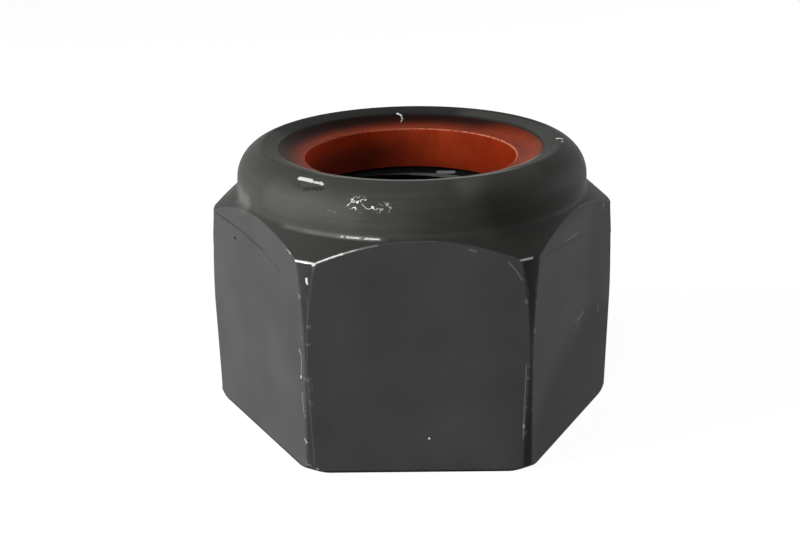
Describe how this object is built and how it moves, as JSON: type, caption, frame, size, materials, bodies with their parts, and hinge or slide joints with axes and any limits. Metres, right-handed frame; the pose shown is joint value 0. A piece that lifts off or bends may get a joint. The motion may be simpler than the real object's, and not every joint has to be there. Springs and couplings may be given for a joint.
{
  "type": "hexagon lock nut with a soft locking ring",
  "caption": "High hexagon lock nut for leaf spring U-bolts: chamfered corners, round collar and a soft ring rolled in above the thread.",
  "frame": {"origin": "centre of the bearing face, on the thread axis", "axes": "+Z along the thread axis from the bearing face to the collar; two corners of the hexagon lie on the X axis and two flats face +Y and -Y"},
  "size_m": [0.0414, 0.036, 0.028],
  "materials": {
    "coated_steel": "dark grey coating, satin, worn bright at the edges",
    "ring_plastic": "orange-red, half matt"
  },
  "bodies": {
    "root": {"nut_body": "coated_steel", "locking_ring": "ring_plastic"}
  },
  "joints": []
}
